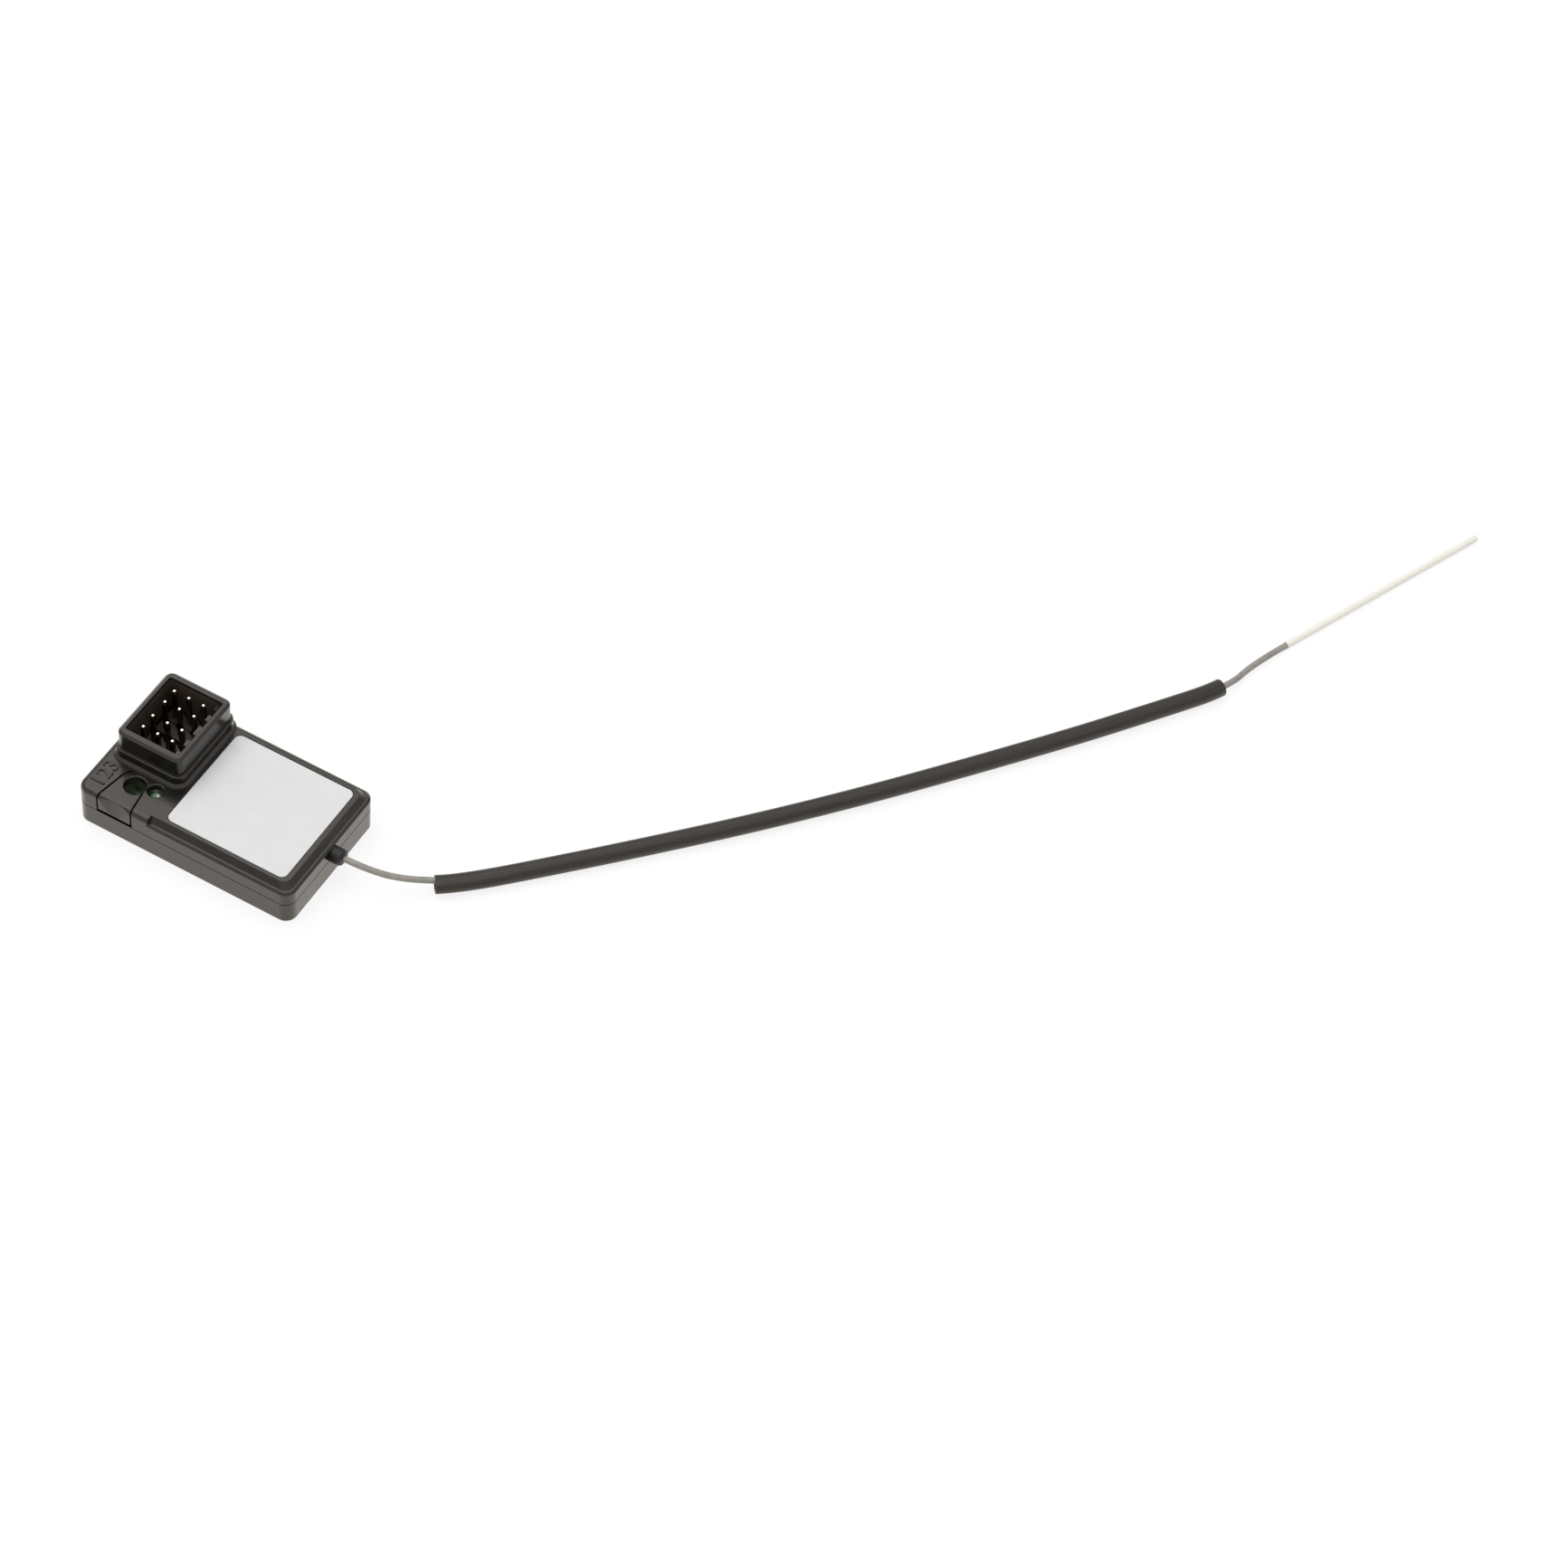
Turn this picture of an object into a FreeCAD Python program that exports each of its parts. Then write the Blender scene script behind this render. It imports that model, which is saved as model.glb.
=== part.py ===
import FreeCAD, Part
import math
import os

from FreeCAD import Vector

# A small surface radio-control receiver lying flat on a table, in millimetres.
# X runs along the case from the servo socket (-X) to the antenna (+X), Y across it, Z up.
# The origin is the middle of the case's underside.

# Case: two moulded halves that snap together round the circuit board
case_length = 37.0
case_width = 22.8
deck_height = 7.4
parting_height = 3.8
parting_gap = 0.15
parting_gap_depth = 0.2
wall = 1.3
floor_thickness = 1.2
roof_thickness = 1.2
corner_radius = 1.8
bottom_edge_chamfer = 0.15
deck_edge_radius = 0.9

# Lip of the lower half, which stands inside a rebate of the upper half
lip_thickness = 0.6
lip_height = 0.9
lip_clearance = 0.05

# Snap beads on the lip
bead_length = 4.0
bead_depth = 0.25
bead_height = 0.4
bead_clearance = 0.05
bead_x = 8.0

# Raised label platform on the antenna side of the deck
step_start_x = -6.1
ledge_height = 6.4
ledge_width = 0.6
riser_run = 0.7
platform_radius = 1.4
ledge_edge_chamfer = 0.35

# Blank label in its shallow recess
label_length = 20.4
label_side_gap = 1.95
label_radius = 1.0
label_thickness = 0.12
label_recess = 0.2
label_clearance = 0.08
label_edge_gap = 2.2

# Servo socket: the shroud round the pins
socket_end_gap = 1.8
socket_side_gap = 1.0
socket_side_clearance = 0.65
socket_back_clearance = 0.39
socket_key_clearance = 1.34
socket_height = 13.0
socket_end_wall = 0.9
socket_side_wall = 1.2
socket_radius = 1.2
socket_rim_chamfer = 0.4
well_radius = 0.35
flange_reach = 0.4
flange_height = 2.1
flange_chamfer = 0.15
plinth_reach = 0.85
plinth_height = 0.6
plinth_chamfer = 0.45
key_depth = 1.15
key_recess = 1.3
keyway_width = 1.3

# Pin headers: four rows of three square pins
pin_pitch = 2.54
pins_per_row = 3
header_shift_y = 0.4
pair_pitch = 2.45
pair_gap = 3.1
strip_width = 2.3
strip_height = 2.54
strip_notch = 0.35
pin_size = 0.64
pin_exposed = 5.95
pin_taper = 0.45
pin_tip_size = 0.32
pin_tail = 1.1
solder_hole_radius = 0.5

# Latch tongue with its slits, at the front corner beside the socket
access_hole_end_gap = 7.3
access_hole_side_gap = 4.6
access_hole_radius = 1.65
lamp_hole_shift_x = 3.05
lamp_hole_shift_y = 0.75
lamp_hole_radius = 1.18
hole_chamfer = 0.15
slit_width = 0.28
latch_root_radius = 2.75
latch_slant = 10.2
latch_root_end = 128.0
latch_right_shift = 2.25
latch_right_slant = 7.6
latch_slot_height = 0.65
latch_scoop = 0.4
latch_tab_height = 4.9
latch_tab_inset = 0.5
latch_nose = 0.15
latch_nose_clearance = 0.08

# Circuit board and what locates it
board_gap = 0.7
board_side_gap = 0.4
board_bottom = 2.8
board_thickness = 1.0
board_corner = 0.8
board_peg_inset = 1.4
board_peg_radius = 0.5
board_peg_rise = 0.7
board_peg_clearance = 0.06
ledge_size_socket_end = 2.0
ledge_size_antenna_end = 3.0
post_radius = 1.25
post_clearance = 0.05
rib_length = 3.0
rib_reach = 1.2
rib_front_y = -5.0
rib_back_y = 4.0

# Antenna outlet
outlet_height = 4.7
grommet_radius = 1.3
grommet_waist_radius = 1.1
grommet_reach = 2.0
grommet_head = 0.55
grommet_edge = 0.3
grommet_clearance = 0.02
saddle_clearance = 0.05

# Antenna, from the case's end wall to its bare end. Route points are measured from that wall.
coax_diameter = 1.0
core_diameter = 0.3
sleeve_diameter = 2.8
sleeve_bore = 2.0
tip_diameter = 1.2
tip_bore = 0.5
tip_wire_diameter = 0.4
tip_wire_share = 0.82
bend_share = 0.45
coax_route = [
    (0.0, 0.0, 4.7),
    (4.9, 0.0, 4.7),
    (10.4, 2.6, 2.75),
    (17.8, 8.4, 1.46),
    (31.1, 21.9, 1.4),
    (54.2, 47.7, 1.4),
    (77.6, 77.6, 1.4),
    (89.0, 93.3, 1.4),
    (96.0, 103.3, 1.4),
    (97.14, 110.43, 0.62),
    (99.75, 116.5, 0.62),
]
sleeve_route = [
    (14.7, 5.95, 1.62),
    (27.7, 17.5, 1.4),
    (68.5, 64.3, 1.4),
    (95.2, 102.5, 1.4),
]
tip_route = [
    (99.75, 116.5, 0.62),
    (115.65, 153.5, 0.61),
]

# Inner end of the antenna cable
lead_length = 5.3
clip_length = 1.6
clip_width = 2.4
clip_rise = 0.6
core_reach = 2.6

# Parts soldered on the board: (share of the way from the headers to the board's antenna end,
# share of the board's half width, length, width, height)
microcontroller_place = (0.253, -0.379, 5.0, 5.0, 0.85)
radio_place = (0.55, 0.0, 4.0, 4.0, 0.85)
crystal_place = (0.55, 0.526, 3.2, 2.5, 0.8)
regulator_place = (0.196, 0.674, 4.5, 2.5, 1.5)
bulk_capacitor_place = (0.187, 0.21, 3.5, 2.8, 1.9)
chip_size = (1.6, 0.8, 0.8)
chip_pitch = 2.2
capacitor_end_gap = 16.1
capacitor_edge_gap = 1.7
capacitor_count = 5
resistor_end_gap = 15.3
resistor_edge_gap = 1.3
resistor_count = 5
resistor_height = 0.5
terminal_length = 0.35
terminal_proud = 0.04
package_chamfer = 0.12
tab_length = 0.7
tab_height = 0.4
lamp_base = (2.2, 1.6, 1.0)
lamp_lens_radius = 0.8
lamp_lens_height = 1.6
pad_radius = 0.42
pad_thickness = 0.05
pad_offset = 0.62

# Sizes that follow from those above
half_length = case_length / 2
half_width = case_width / 2
inner_x = half_length - wall
inner_y = half_width - wall
inner_radius = max(corner_radius - wall, 0.3)
roof_underside = deck_height - roof_thickness
board_top = board_bottom + board_thickness
board_x = inner_x - board_gap
board_y = inner_y - board_side_gap
strip_top = board_top + strip_height
lip_top = parting_height + lip_height
header_length = pin_pitch * pins_per_row
header_width = pair_gap + 2 * pair_pitch + strip_width
socket_length = header_length + 2 * socket_end_wall + socket_back_clearance + socket_key_clearance
socket_width = header_width + 2 * socket_side_wall + 2 * socket_side_clearance
socket_x = socket_end_gap + socket_length / 2 - half_length
socket_y = half_width - socket_side_gap - socket_width / 2
header_x = socket_x + (socket_back_clearance - socket_key_clearance) / 2
header_y = socket_y + header_shift_y
header_end_x = header_x + header_length / 2
lead_end_x = half_length - lead_length
core_end_x = lead_end_x - core_reach
access_hole_x = access_hole_end_gap - half_length
access_hole_y = access_hole_side_gap - half_width
lamp_hole_x = access_hole_x + lamp_hole_shift_x
lamp_hole_y = access_hole_y + lamp_hole_shift_y
latch_right_x = access_hole_x + latch_right_shift
capacitor_start = (board_x - capacitor_end_gap, capacitor_edge_gap - board_y)
resistor_start = (board_x - resistor_end_gap, board_y - resistor_edge_gap)
label_right = half_length - label_edge_gap
label_width = case_width - 2 * label_side_gap
label_left = label_right - label_length
label_floor = deck_height - label_recess
row_offsets = [
    pair_gap / 2 + pair_pitch,
    pair_gap / 2,
    -pair_gap / 2,
    -pair_gap / 2 - pair_pitch,
]
row_places = [header_y + offset for offset in row_offsets]
pin_places = [header_x + pin_pitch * (i - (pins_per_row - 1) / 2) for i in range(pins_per_row)]
peg_places = [
    (board_x - board_peg_inset, board_y - board_peg_inset),
    (board_x - board_peg_inset, board_peg_inset - board_y),
]
far = 100.0


def block(x0, x1, y0, y1, z0, z1):
    """A box between two corners."""
    return Part.makeBox(x1 - x0, y1 - y0, z1 - z0, Vector(x0, y0, z0))


def outline(x0, x1, y0, y1, radius, z):
    """A closed rectangle with four equal corner arcs, lying at height z."""
    up = Vector(0, 0, 1)
    corners = [
        (x1 - radius, y1 - radius, 0),
        (x0 + radius, y1 - radius, 90),
        (x0 + radius, y0 + radius, 180),
        (x1 - radius, y0 + radius, 270),
    ]
    arcs = [Part.makeCircle(radius, Vector(x, y, z), up, a, a + 90) for x, y, a in corners]
    edges = []
    for arc, following in zip(arcs, arcs[1:] + arcs[:1]):
        side_start = arc.valueAt(arc.LastParameter)
        side_end = following.valueAt(following.FirstParameter)
        edges += [arc, Part.makeLine(side_start, side_end)]
    return Part.Wire(edges)


def prism(x0, x1, y0, y1, z0, z1, radius):
    """A rounded rectangle raised from z0 to z1."""
    return Part.Face(outline(x0, x1, y0, y1, radius, z0)).extrude(Vector(0, 0, z1 - z0))


def case_prism(z0, z1):
    """The outline of the case raised from z0 to z1."""
    return prism(-half_length, half_length, -half_width, half_width, z0, z1, corner_radius)


def level_edges(shape, z):
    """The edges that lie wholly at one height."""
    near = 1e-4
    return [e for e in shape.Edges if abs(e.BoundBox.ZMin - z) < near and abs(e.BoundBox.ZMax - z) < near]


def eight_sided(x, y, radius, z0, z1):
    """An upright eight-sided post or hole, with flats facing along X and Y."""
    turns = [math.radians(22.5 + 45 * i) for i in range(9)]
    corners = [Vector(x + radius * math.cos(t), y + radius * math.sin(t), z0) for t in turns]
    return Part.Face(Part.makePolygon(corners)).extrude(Vector(0, 0, z1 - z0))


def from_wall(route):
    """A route's points as places, counted from the case's end wall."""
    return [Vector(half_length + x, y, z) for x, y, z in route]


def pipe_path(points):
    """Straight runs joined by tangent arcs, and the radius of each arc."""
    edges = []
    radii = []
    start = points[0]
    for before, corner, after in zip(points, points[1:], points[2:]):
        back = (before - corner).normalize()
        ahead = (after - corner).normalize()
        half_turn = (math.pi - back.getAngle(ahead)) / 2
        reach = bend_share * min((before - corner).Length, (after - corner).Length)
        radius = reach / math.tan(half_turn)
        inward = (back + ahead).normalize()
        middle = corner + inward * (radius / math.cos(half_turn) - radius)
        first = corner + back * reach
        last = corner + ahead * reach
        edges.append(Part.makeLine(start, first))
        edges.append(Part.Arc(first, middle, last).toShape())
        radii.append(radius)
        start = last
    edges.append(Part.makeLine(start, points[-1]))
    return Part.Wire(edges), radii


def tube(points, diameter):
    """A round solid that follows the runs and arcs of a route."""
    path, radii = pipe_path(points)
    ring = Part.Wire(Part.makeCircle(diameter / 2, points[0], points[1] - points[0]))
    return path.makePipeShell([ring], True, False)


def turned_slab(x, y, length, heading, z0, z1):
    """A slit's cutting slab: it starts at (x, y) and runs along a heading in degrees."""
    slab = block(0, length, -slit_width / 2, slit_width / 2, z0, z1)
    slab.rotate(Vector(0, 0, 0), Vector(0, 0, 1), heading)
    slab.translate(Vector(x, y, 0))
    return slab


def board_place(place):
    """The middle of a part on the board, from its two shares."""
    x_share, y_share = place[:2]
    return header_end_x + x_share * (board_x - header_end_x), y_share * board_y


def package(place, chamfer=package_chamfer):
    """A moulded chip body on the board."""
    length, width, height = place[2:]
    x, y = board_place(place)
    x0 = x - length / 2
    y0 = y - width / 2
    body = block(x0, x0 + length, y0, y0 + width, board_top, board_top + height)
    return body.makeChamfer(chamfer, level_edges(body, board_top + height))


def chip(x, y, height):
    """A two-ended chip part whose end caps stand a little proud of its body."""
    length, width, _ = chip_size
    x0 = x - length / 2
    x1 = x + length / 2
    low = board_top
    y0 = y - width / 2
    y1 = y + width / 2
    cap_top = low + height + terminal_proud
    body = block(x0, x1, y0 + terminal_proud, y1 - terminal_proud, low, low + height)
    caps = [
        block(x0, x0 + terminal_length, y0, y1, low, cap_top),
        block(x1 - terminal_length, x1, y0, y1, low, cap_top),
    ]
    return body.fuse(caps).removeSplitter()


def latch_geometry():
    """Where the two slits of the tongue start on the front face."""
    root_angle = 180 - latch_slant
    turn = math.radians(root_angle)
    root_x = access_hole_x + latch_root_radius * math.cos(turn)
    root_y = access_hole_y + latch_root_radius * math.sin(turn)
    run = (root_y + half_width) / math.cos(math.radians(latch_slant))
    left_x = root_x - run * math.sin(math.radians(latch_slant))
    return root_angle, root_x, root_y, run, left_x


def latch_slits():
    """The two slits and the slot that free the tongue of the upper half."""
    root_angle, root_x, root_y, run, left_x = latch_geometry()
    low = parting_height
    high = deck_height + 1
    margin = 1.0
    left = turned_slab(root_x, root_y, run + margin, 270 - latch_slant, low, high)
    outer = latch_root_radius + slit_width / 2
    inner = latch_root_radius - slit_width / 2
    centre = Vector(access_hole_x, access_hole_y, low)
    up = Vector(0, 0, 1)
    sweep = root_angle - latch_root_end
    bend = Part.makeCylinder(outer, high - low, centre, up, sweep)
    bend = bend.cut(Part.makeCylinder(inner, high - low, centre, up))
    bend.rotate(centre, up, latch_root_end)
    right_run = access_hole_y + half_width + margin
    lean = math.radians(latch_right_slant)
    right = turned_slab(
        latch_right_x + margin * math.tan(lean),
        -half_width - margin,
        right_run / math.cos(lean),
        90 + latch_right_slant,
        low,
        high,
    )
    slot = block(
        left_x - slit_width / 2,
        latch_right_x + slit_width / 2,
        -half_width - margin,
        -inner_y + slit_width,
        low,
        low + latch_slot_height,
    )
    return [left, bend, right, slot]


def latch_scoop_cut():
    """A finger hollow in the front of the tongue, which deepens from its foot to the deck."""
    left_x = latch_geometry()[4]
    chord = latch_right_x - left_x
    radius = (chord * chord / 4 + latch_scoop * latch_scoop) / (2 * latch_scoop)
    foot = parting_height + latch_slot_height
    rise = deck_height - foot
    centre = Vector((left_x + latch_right_x) / 2, -half_width - radius + latch_scoop, foot)
    return Part.makeCone(radius - latch_scoop, radius + latch_scoop, 2 * rise, centre)


def make_bottom_shell():
    """The lower half: a tray with a lip, board ledges, a latch tab and an outlet saddle."""
    shell = case_prism(0, parting_height)
    shell = shell.makeChamfer(bottom_edge_chamfer, level_edges(shell, 0))
    cavity = prism(-inner_x, inner_x, -inner_y, inner_y, floor_thickness, far, inner_radius)
    lip = prism(
        -inner_x - lip_thickness,
        inner_x + lip_thickness,
        -inner_y - lip_thickness,
        inner_y + lip_thickness,
        parting_height,
        lip_top,
        inner_radius + lip_thickness,
    )
    beads = []
    for x, side in ((bead_x, 1), (bead_x, -1), (-bead_x, 1)):
        face = side * (inner_y + lip_thickness)
        middle = (parting_height + lip_top) / 2
        bead = block(
            x - bead_length / 2,
            x + bead_length / 2,
            min(face - side * bead_depth, face + side * bead_depth),
            max(face - side * bead_depth, face + side * bead_depth),
            middle - bead_height / 2,
            middle + bead_height / 2,
        )
        beads.append(bead)
    saddle = block(
        inner_x,
        half_length,
        saddle_clearance - grommet_waist_radius,
        grommet_waist_radius - saddle_clearance,
        parting_height - floor_thickness,
        outlet_height,
    )
    left_x = latch_geometry()[4]
    tab_left = left_x + latch_tab_inset
    tab_right = latch_right_x - latch_tab_inset
    tab_face = -inner_y - lip_thickness
    tab = block(tab_left, tab_right, tab_face, -inner_y, parting_height, latch_tab_height)
    nose_low = parting_height + latch_nose_clearance
    nose_high = parting_height + latch_slot_height - latch_nose_clearance
    nose = block(tab_left, tab_right, tab_face - latch_nose, tab_face, nose_low, nose_high)
    nose = nose.makeChamfer(latch_nose_clearance, [
        e for e in level_edges(nose, nose_high) if abs(e.CenterOfMass.y - tab_face + latch_nose) < 1e-4
    ])
    shell = shell.fuse([lip] + beads).cut(cavity).fuse([saddle, tab, nose])
    ledges = []
    for x_side, size in ((-1, ledge_size_socket_end), (1, ledge_size_antenna_end)):
        for y_side in (-1, 1):
            x_edges = sorted((x_side * (inner_x + wall / 2), x_side * (inner_x - size)))
            y_edges = sorted((y_side * (inner_y + wall / 2), y_side * (inner_y - size)))
            ledges.append(block(*x_edges, *y_edges, floor_thickness / 2, board_bottom))
    peg_height = board_thickness + board_peg_rise
    pegs = [
        eight_sided(x, y, board_peg_radius, board_bottom - wall, board_bottom + peg_height)
        for x, y in peg_places
    ]
    shell = shell.fuse(ledges + pegs)
    seat = Part.makeCylinder(
        grommet_waist_radius + grommet_clearance, far, Vector(0, 0, outlet_height), Vector(1, 0, 0)
    )
    return shell.cut(seat).removeSplitter()


def make_top_shell():
    """The upper half: deck, label platform, socket shroud, latch tongue and outlet notch."""
    deck = case_prism(parting_height, deck_height)
    deck = deck.makeFillet(deck_edge_radius, level_edges(deck, deck_height))
    ledge = case_prism(parting_height, ledge_height)
    ledge = ledge.makeChamfer(ledge_edge_chamfer, level_edges(ledge, ledge_height))

    # The border round the label drops to a ledge by a sloping riser
    low_x = half_length - ledge_width
    low_y = half_width - ledge_width
    past = case_length
    low_outline = outline(step_start_x - past, low_x, -low_y, low_y, platform_radius, ledge_height)
    high_outline = outline(
        step_start_x - past,
        low_x - riser_run,
        riser_run - low_y,
        low_y - riser_run,
        platform_radius,
        deck_height,
    )
    platform = Part.makeLoft([low_outline, high_outline], True, True)
    antenna_side = block(step_start_x, far, -far, far, 0, far)
    socket_side = deck.cut(antenna_side)
    label_side = ledge.fuse(platform).common(antenna_side)
    shell = socket_side.fuse(label_side)

    # Socket shroud and the flange round its foot
    x0 = socket_x - socket_length / 2
    x1 = socket_x + socket_length / 2
    y0 = socket_y - socket_width / 2
    y1 = socket_y + socket_width / 2
    shroud = prism(x0, x1, y0, y1, roof_underside, socket_height, socket_radius)
    shroud = shroud.makeChamfer(socket_rim_chamfer, level_edges(shroud, socket_height))
    feet = []
    for reach, height, chamfer in (
        (flange_reach, flange_height, flange_chamfer),
        (plinth_reach, plinth_height, plinth_chamfer),
    ):
        foot_top = deck_height + height
        foot = prism(
            x0 - reach, x1 + reach, y0 - reach, y1 + reach, roof_underside, foot_top, socket_radius + reach
        )
        feet.append(foot.makeChamfer(chamfer, level_edges(foot, foot_top)))
    shell = shell.fuse(feet + [shroud])

    # Hollow inside, the rebate for the lip and the pockets for its beads
    cavity = prism(-inner_x, inner_x, -inner_y, inner_y, 0, roof_underside, inner_radius)
    rebate_reach = lip_thickness + lip_clearance
    rebate = prism(
        -inner_x - rebate_reach,
        inner_x + rebate_reach,
        -inner_y - rebate_reach,
        inner_y + rebate_reach,
        0,
        lip_top + lip_clearance,
        inner_radius + rebate_reach,
    )
    gap_outline = prism(
        parting_gap_depth - half_length,
        half_length - parting_gap_depth,
        parting_gap_depth - half_width,
        half_width - parting_gap_depth,
        parting_height,
        parting_height + parting_gap,
        corner_radius - parting_gap_depth,
    )
    shadow_gap = case_prism(parting_height, parting_height + parting_gap).cut(gap_outline)
    cuts = [cavity, rebate, shadow_gap]
    for x, side in ((bead_x, 1), (bead_x, -1), (-bead_x, 1)):
        face = side * (inner_y + lip_thickness)
        middle = (parting_height + lip_top) / 2
        depth = bead_depth + bead_clearance
        cuts.append(block(
            x - bead_length / 2 - bead_clearance,
            x + bead_length / 2 + bead_clearance,
            min(face - side * depth, face + side * depth),
            max(face - side * depth, face + side * depth),
            middle - bead_height / 2 - bead_clearance,
            middle + bead_height / 2 + bead_clearance,
        ))
    tab_pocket = block(
        latch_geometry()[4] + latch_tab_inset - lip_clearance,
        latch_right_x - latch_tab_inset + lip_clearance,
        -inner_y - rebate_reach,
        -inner_y + wall,
        0,
        latch_tab_height + lip_clearance,
    )
    cuts.append(tab_pocket)

    # The well takes the plugs, and keys on one wall leave a keyway for each pin row
    well_face = x1 - socket_end_wall
    well_low = y0 + socket_side_wall
    well_high = y1 - socket_side_wall
    cuts.append(prism(x0 + socket_end_wall, well_face, well_low, well_high, 0, far, well_radius))
    shell = shell.cut(cuts)
    keys = []
    upper_edges = [well_high + socket_side_wall / 2] + [y - keyway_width / 2 for y in row_places]
    lower_edges = [y + keyway_width / 2 for y in row_places] + [well_low - socket_side_wall / 2]
    for upper, lower in zip(upper_edges, lower_edges):
        keys.append(block(
            well_face - key_depth,
            well_face + socket_end_wall / 2,
            lower,
            upper,
            strip_top + lip_clearance,
            socket_height - key_recess,
        ))

    # Posts over the board pegs, and ribs that hold the board's other end down
    posts = [
        eight_sided(x, y, post_radius, board_top + post_clearance, roof_underside + roof_thickness / 2)
        for x, y in peg_places
    ]
    ribs = [
        block(
            -inner_x - wall / 2,
            rib_reach - inner_x,
            y - rib_length / 2,
            y + rib_length / 2,
            board_top + post_clearance,
            deck_height - roof_thickness / 2,
        )
        for y in (rib_front_y, rib_back_y)
    ]
    rib_relief = block(-half_length, -inner_x, -inner_y, inner_y, 0, lip_top + lip_clearance)
    ribs = [rib.cut(rib_relief) for rib in ribs]
    shell = shell.fuse(keys + posts + ribs)

    # Holes, slits, label recess and outlet notch
    peg_bore = board_peg_radius + board_peg_clearance
    openings = [
        eight_sided(x, y, peg_bore, board_top, board_top + board_peg_rise + board_peg_clearance)
        for x, y in peg_places
    ]
    for x, y, radius in (
        (access_hole_x, access_hole_y, access_hole_radius),
        (lamp_hole_x, lamp_hole_y, lamp_hole_radius),
    ):
        openings.append(Part.makeCylinder(radius, far, Vector(x, y, roof_underside - 1)))
        openings.append(Part.makeCone(
            radius, radius + 2 * hole_chamfer, 2 * hole_chamfer, Vector(x, y, deck_height - hole_chamfer)
        ))
    openings += latch_slits()
    openings.append(latch_scoop_cut())
    openings.append(prism(
        label_left - label_clearance,
        label_right + label_clearance,
        -label_width / 2 - label_clearance,
        label_width / 2 + label_clearance,
        label_floor,
        far,
        label_radius + label_clearance,
    ))
    seat = grommet_waist_radius + grommet_clearance
    openings.append(Part.makeCylinder(seat, far, Vector(inner_x - 1, 0, outlet_height), Vector(1, 0, 0)))
    openings.append(block(inner_x - 1, far, -seat, seat, 0, outlet_height))
    return shell.cut(openings).removeSplitter()


def make_label():
    """A thin blank sticker with rounded corners."""
    return prism(
        label_left,
        label_right,
        -label_width / 2,
        label_width / 2,
        label_floor,
        label_floor + label_thickness,
        label_radius,
    )


def make_grommet():
    """A rubber bush with a waist that the two case halves grip."""
    axis = Vector(1, 0, 0)
    start = inner_x - grommet_head
    bush = Part.makeCylinder(grommet_radius, grommet_head, Vector(start, 0, outlet_height), axis)
    waist = Part.makeCylinder(grommet_waist_radius, wall, Vector(inner_x, 0, outlet_height), axis)
    barrel = Part.makeCylinder(grommet_radius, grommet_reach, Vector(half_length, 0, outlet_height), axis)
    outer_end = half_length + grommet_reach
    barrel = barrel.makeChamfer(grommet_edge, [e for e in barrel.Edges if e.BoundBox.XMin > outer_end - 1e-4])
    bore = Part.makeCylinder(coax_diameter / 2, far, Vector(0, 0, outlet_height), axis)
    return bush.fuse([waist, barrel]).cut(bore).removeSplitter()


def make_inner_lead():
    """The cable's end inside the case, from its clip to the outer face of the wall."""
    length = half_length - lead_end_x
    return Part.makeCylinder(coax_diameter / 2, length, Vector(lead_end_x, 0, outlet_height), Vector(1, 0, 0))


def make_inner_core():
    """The bare inner conductor, which slopes down to its pad on the board."""
    start = Vector(lead_end_x + core_diameter, 0, outlet_height)
    run = Vector(core_end_x, 0, board_top - core_diameter) - start
    core = Part.makeCylinder(core_diameter / 2, run.Length, start, run)
    return core.common(block(-far, lead_end_x, -far, far, board_top, far))


def make_clip():
    """A folded ground clip that holds the cable's braid to the board."""
    saddle = block(
        lead_end_x,
        lead_end_x + clip_length,
        -clip_width / 2,
        clip_width / 2,
        board_top,
        outlet_height + clip_rise,
    )
    saddle = saddle.makeFillet(clip_rise / 2, [
        e for e in level_edges(saddle, outlet_height + clip_rise) if e.BoundBox.XLength > clip_length / 2
    ])
    bore = Part.makeCylinder(coax_diameter / 2, far, Vector(0, 0, outlet_height), Vector(1, 0, 0))
    return saddle.cut(bore)


def make_sleeve():
    """The black tube that stiffens the middle of the antenna."""
    points = from_wall(sleeve_route)
    return tube(points, sleeve_diameter).cut(tube(points, sleeve_bore))


def make_tip():
    """The white tube over the antenna's bare end."""
    points = from_wall(tip_route)
    return tube(points, tip_diameter).cut(tube(points, tip_bore))


def make_tip_wire():
    """The radiating wire, which ends a little before its white tube does."""
    first, last = from_wall(tip_route)
    end = first + (last - first) * tip_wire_share
    return tube([first, end], tip_wire_diameter)


def make_board():
    """The circuit board with its solder holes and peg holes."""
    board = prism(-board_x, board_x, -board_y, board_y, board_bottom, board_top, board_corner)
    holes = [
        eight_sided(x, y, board_peg_radius + board_peg_clearance, 0, far)
        for x, y in peg_places
    ]
    for y in row_places:
        holes += [eight_sided(x, y, solder_hole_radius, 0, far) for x in pin_places]
    return board.cut(holes)


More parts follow.
